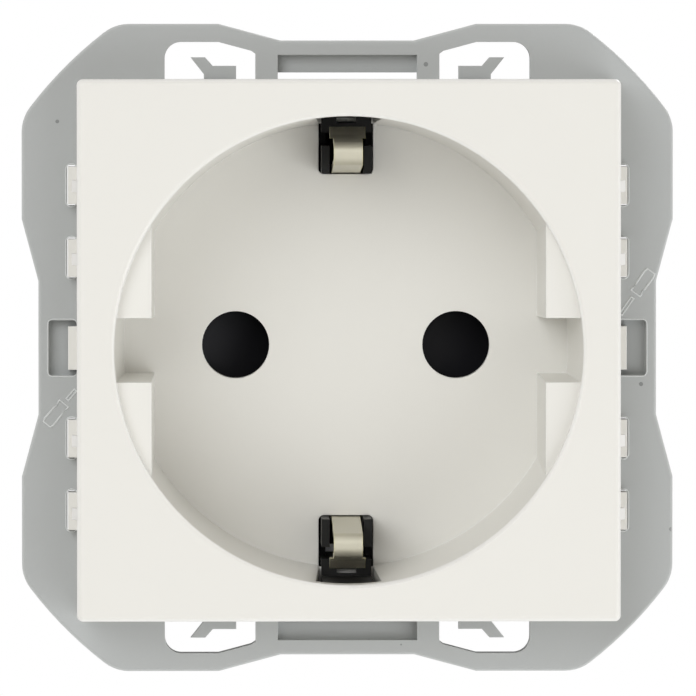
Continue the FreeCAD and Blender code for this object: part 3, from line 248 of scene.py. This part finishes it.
def darkPlastic(name, color, roughness):
    look = {
        "light": 1.15, "dark": 0.85, "tintGrain": 5 * mm, "roughnessSpread": 0.12, "sheen": 0.22,
        "grain": 0.2 * mm, "grainDetail": 3.0, "grainDepth": 0.003 * mm,
    }
    finish = Finish(name, color, roughness)
    finish.set("Specular IOR Level", look["sheen"])
    cloud = finish.noise(look["tintGrain"])
    finish.set("Base Color", finish.mixed(cloud, shade(color, look["dark"]), shade(color, look["light"])))
    grain = finish.noise(look["grain"], look["grainDetail"])
    finish.set("Roughness", varied(roughness, look["roughnessSpread"], grain))
    finish.bump(grain, look["grainDepth"])
    return finish.material


def metal(name, color, roughness, metallic=1.0, bareBrassAndHighlight=None):  # the colour given at the edges: the bare brass that shows at cut edges, painted lighter as a highlight along them
    look = {
        "light": 1.05, "dark": 0.9, "cloud": 1.2 * mm, "detail": 3.0, "roughnessSpread": 0.14,
        "fine": 0.25 * mm, "dent": 0.9 * mm, "dentShare": 2.0, "depth": 0.003 * mm,
        "brassHighlightReach": 0.13 * mm, "brassHighlightGain": 3.0, "brassHighlightShare": 0.9,
    }
    finish = Finish(name, color, roughness, metallic)
    cloud = finish.noise(look["cloud"], look["detail"])
    body = finish.mixed(cloud, shade(color, look["dark"]), shade(color, look["light"]))
    if bareBrassAndHighlight:
        # bare brass at the cut edges and a painted highlight along them, both in one lighter yellow
        edgeMaskBrassAndHighlight = finish.edges(look["brassHighlightReach"], look["brassHighlightGain"]) * look["brassHighlightShare"]
        body = finish.mixed(edgeMaskBrassAndHighlight, body, shade(bareBrassAndHighlight, 1.0))
    finish.set("Base Color", body)
    finish.set("Roughness", varied(roughness, look["roughnessSpread"], cloud))
    fine = finish.noise(look["fine"], look["detail"])
    finish.bump(fine + look["dentShare"] * finish.noise(look["dent"]), look["depth"])
    return finish.material


finishes = {
    "white_gloss": whitePlastic(),
    "grey_plastic": greyPlastic("mattGreyPlastic", linear(181, 184, 184)),
    # painted highlight: the raised marks and slot lips get a lighter grey than the frame, standing in for
    # the light on their ridges
    "grey_marks": greyPlastic("highlightedGreyPlastic", linear(203, 206, 206)),
    "black_plastic": darkPlastic("mattBlackPlastic", linear(20, 20, 18), 0.5),
    "dark_grey_plastic": darkPlastic("mattDarkGreyPlastic", linear(34, 34, 38), 0.55),
    "plated_brass": metal("nickelPlatedBrass", linear(196, 192, 174), 0.4, 0.36, linear(232, 226, 160)),
    "bare_brass": metal("bareBrass", linear(214, 186, 120), 0.28),
    "spring_steel": metal("springSteel", linear(200, 200, 202), 0.3),
    "zinc_plated_steel": metal("zincPlatedSteel", linear(205, 207, 210), 0.34),
}
for part in frame["record"]["subparts"]:
    for slot in nodes[part["node"]].material_slots:
        slot.material = finishes[part["material_slot"]]
print("finishes given to the CAD nodes")


# outlines raised on the frame

outline = {
    "sameLine": 0.001 * mm,  # points this near to a line lie on it
    "straight": 0.001,  # bends smaller than this are dissolved, in radians
    "beadRounding": 1,
    "cover": 23.5 * mm,  # the cover's sides end before this
}


def selectOnly(made, *others):  # the first one is active
    bpy.ops.object.select_all(action="DESELECT")
    for piece in (made, *others):
        piece.select_set(True)
    bpy.context.view_layer.objects.active = made


def pickEdge(made, x):  # the outline's edge across the shape at x
    bpy.ops.object.mode_set(mode="OBJECT")
    points = made.data.vertices
    for edge in made.data.edges:
        edge.select = all(abs(points[index].co.x - x) < outline["sameLine"] for index in edge.vertices)
    bpy.ops.object.mode_set(mode="EDIT")


def flatShape(stations):  # a flat shape along x, as wide at each station as the list says
    (start, first), (end, half) = stations[:2]
    middle = ((start + end) / 2, 0, 0)
    bpy.ops.object.select_all(action="DESELECT")
    bpy.ops.mesh.primitive_plane_add(size=1, location=middle, rotation=(math.pi / 2, 0, 0))
    made = bpy.context.object
    made.scale = (end - start, 2 * first, 1)
    bpy.ops.object.transform_apply(location=True, rotation=True, scale=True)
    bpy.ops.object.mode_set(mode="EDIT")
    bpy.context.tool_settings.mesh_select_mode = (False, True, False)
    pickEdge(made, end)
    bpy.ops.transform.resize(value=(1, 1, half / first), center_override=(end, 0, 0))
    for (x, half), (nextX, nextHalf) in zip(stations[1:], stations[2:]):
        pickEdge(made, x)
        bpy.ops.mesh.extrude_region_move(TRANSFORM_OT_translate={"value": (nextX - x, 0, 0)})
        bpy.ops.transform.resize(value=(1, 1, nextHalf / half), center_override=(nextX, 0, 0))
    return made


def raisedOutline(made, bead, openAt=None):  # only the rim is kept, and becomes a round bead
    bpy.ops.mesh.select_all(action="SELECT")
    bpy.ops.mesh.dissolve_limited(angle_limit=outline["straight"])
    bpy.ops.mesh.select_all(action="SELECT")
    bpy.ops.mesh.delete(type="ONLY_FACE")
    if openAt is not None:
        pickEdge(made, openAt)
        bpy.ops.mesh.delete(type="EDGE")
    bpy.ops.object.mode_set(mode="OBJECT")
    bpy.ops.object.convert(target="CURVE")
    made.data.bevel_depth = bead
    made.data.bevel_resolution = outline["beadRounding"]
    made.data.use_fill_caps = True
    bpy.ops.object.convert(target="MESH")
    return bpy.context.object


def plateFront():  # the frame's front beside the cover, because its posts inside stand further forward
    plate = nodes["mounting_frame"]
    points = [plate.matrix_world @ vertex.co for vertex in plate.data.vertices]
    return min(point.y for point in points if abs(point.x) > outline["cover"])


frontY = plateFront()


# the two raised marks on the frame, each the plain outline of a screwdriver

marks = {
    "bead": 0.1 * mm,  # radius of the raised line
    "sink": 0.02 * mm,  # how far the middle of the line lies in the frame
    "handle": [  # stations along the tool and the half width there
        (0.0, 0.2 * mm), (0.15 * mm, 0.38 * mm), (0.45 * mm, 0.47 * mm), (1.5 * mm, 0.45 * mm),
        (1.85 * mm, 0.36 * mm), (2.3 * mm, 0.48 * mm)],
    "shaft": (2.75 * mm, 0.13 * mm),  # where it starts and its half width
    "places": [  # handle's end in x and z, the tool's way from +x towards +z in degrees, and its length
        {"name": "mark_left", "end": (-25.67 * mm, -6.52 * mm), "angle": 50.0, "length": 3.8 * mm},
        {"name": "mark_right", "end": (25.93 * mm, 6.53 * mm), "angle": 235.0, "length": 4.5 * mm},
    ],
}
for place in marks["places"]:
    start, half = marks["shaft"]
    shaft = raisedOutline(flatShape([(start, half), (place["length"], half)]), marks["bead"])
    handle = raisedOutline(flatShape(marks["handle"]), marks["bead"])
    selectOnly(handle, shaft)
    bpy.ops.object.join()
    handle.name = place["name"]
    handle.rotation_euler = (0, -math.radians(place["angle"]), 0)
    handle.location = (place["end"][0], frontY + marks["sink"], place["end"][1])
    bpy.ops.object.transform_apply(location=True, rotation=True, scale=True)
    # painted highlight: the marks take the lighter grey, standing in for light on the raised lines
    handle.data.materials.clear()
    handle.data.materials.append(finishes["grey_marks"])
    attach(handle, "root")
print("marks made")


# the lips round the frame's side slots and side windows, where they stand clear of the cover

lips = {
    "bead": 0.06 * mm,  # radius of the raised line
    "sink": 0.015 * mm,  # how far the middle of the line lies in the frame
    "gap": 0.1 * mm,  # lip to the opening
    "corner": 0.45 * mm,
    "cornerSteps": 4,
    "inner": 23.06 * mm,  # just outside the cover's side
    "openings": [  # outer edge, half height and places along the side
        (23.94 * mm, 1.725 * mm, (7.7 * mm, 13.89 * mm, -7.7 * mm, -13.89 * mm)),
        (25.5 * mm, 2.35 * mm, (0.0,))],
}
lipPieces = []
for outer, half, middles in lips["openings"]:
    around = half + lips["gap"]
    shape = flatShape([(lips["inner"], around), (outer + lips["gap"], around)])
    bpy.ops.mesh.bevel(offset=lips["corner"], segments=lips["cornerSteps"], affect="VERTICES")
    first = raisedOutline(shape, lips["bead"], lips["inner"])
    for middle in middles:
        for turn in (0.0, math.pi):
            selectOnly(first)
            bpy.ops.object.duplicate()
            piece = bpy.context.object
            piece.rotation_euler = (0, turn, 0)
            piece.location = (0, frontY + lips["sink"], middle)
            bpy.ops.object.transform_apply(location=True, rotation=True, scale=True)
            lipPieces.append(piece)
    bpy.data.objects.remove(first)
selectOnly(*lipPieces)
bpy.ops.object.join()
slotLips = bpy.context.object
slotLips.name = "slot_lips"
# painted highlight: the slot lips take the lighter grey, standing in for light on the raised lines
slotLips.data.materials.clear()
slotLips.data.materials.append(finishes["grey_marks"])
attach(slotLips, "root")
print("slot lips made")


# stage and light

white = (1.0, 1.0, 1.0, 1.0)
stage = {
    "floorUnder": 0.55,  # the socket hangs on its wall, well over the floor
    "size": 5.0,
    "color": linear(236, 236, 235),
    "roughness": 0.8,
    "glow": 0.85,  # how far it turns white where it is seen
}
finish = Finish("paleFloor", stage["color"], stage["roughness"])
shown = finish.add("ShaderNodeMixShader", {}, {
    0: finish.seenStraight() * stage["glow"],
    1: Wire(finish, finish.shader.outputs[0]),
    2: finish.add("ShaderNodeEmission", {}, {"Color": white})})
finish.feed(finish.nodeTree.nodes["Material Output"].inputs["Surface"], shown)
bpy.ops.object.select_all(action="DESELECT")
bpy.ops.mesh.primitive_plane_add(size=stage["size"], location=(0, 0, -stage["floorUnder"]))
floor = bpy.context.object
floor.name = "floor"
floor.data.materials.append(finish.material)

light = {
    "color": (0.985, 1.0, 1.015),
    "lamps": [
        {"name": "key", "place": (-0.5, -1.0, 0.46), "size": 0.9, "power": 5.6},
        {"name": "fill", "place": (0.31, -0.6, -0.29), "size": 0.46, "power": 1.0},
        {"name": "side", "place": (0.75, -0.42, -0.26), "size": 0.5, "power": 1.3},
        {"name": "back", "place": (0.5, 1.0, 0.6), "size": 0.8, "power": 7.0},
    ],
    "room": (1.0, 0.95, 0.885, 1.0),  # light from all round, which is white where it is seen
    "roomLevel": 0.43,
}
for lamp in light["lamps"]:
    lampData = bpy.data.lights.new(lamp["name"], "AREA")
    lampData.shape = "DISK"
    lampData.size = lamp["size"]
    lampData.energy = lamp["power"]
    lampData.color = light["color"]
    aimed(lamp["name"], lampData, lamp["place"], (0.0, 0.0, 0.0))

world = bpy.data.worlds.new("studio")
bpy.context.scene.world = world
world.use_nodes = True
room = Tree(world.node_tree)
seen = room.seenStraight()
background = room.nodeTree.nodes["Background"].inputs
room.feed(background["Color"], room.mixed(seen, light["room"], white))
room.feed(background["Strength"], light["roomLevel"] + seen * (1.0 - light["roomLevel"]))
bpy.context.scene.view_settings.view_transform = "Standard"
print("stage and light made")
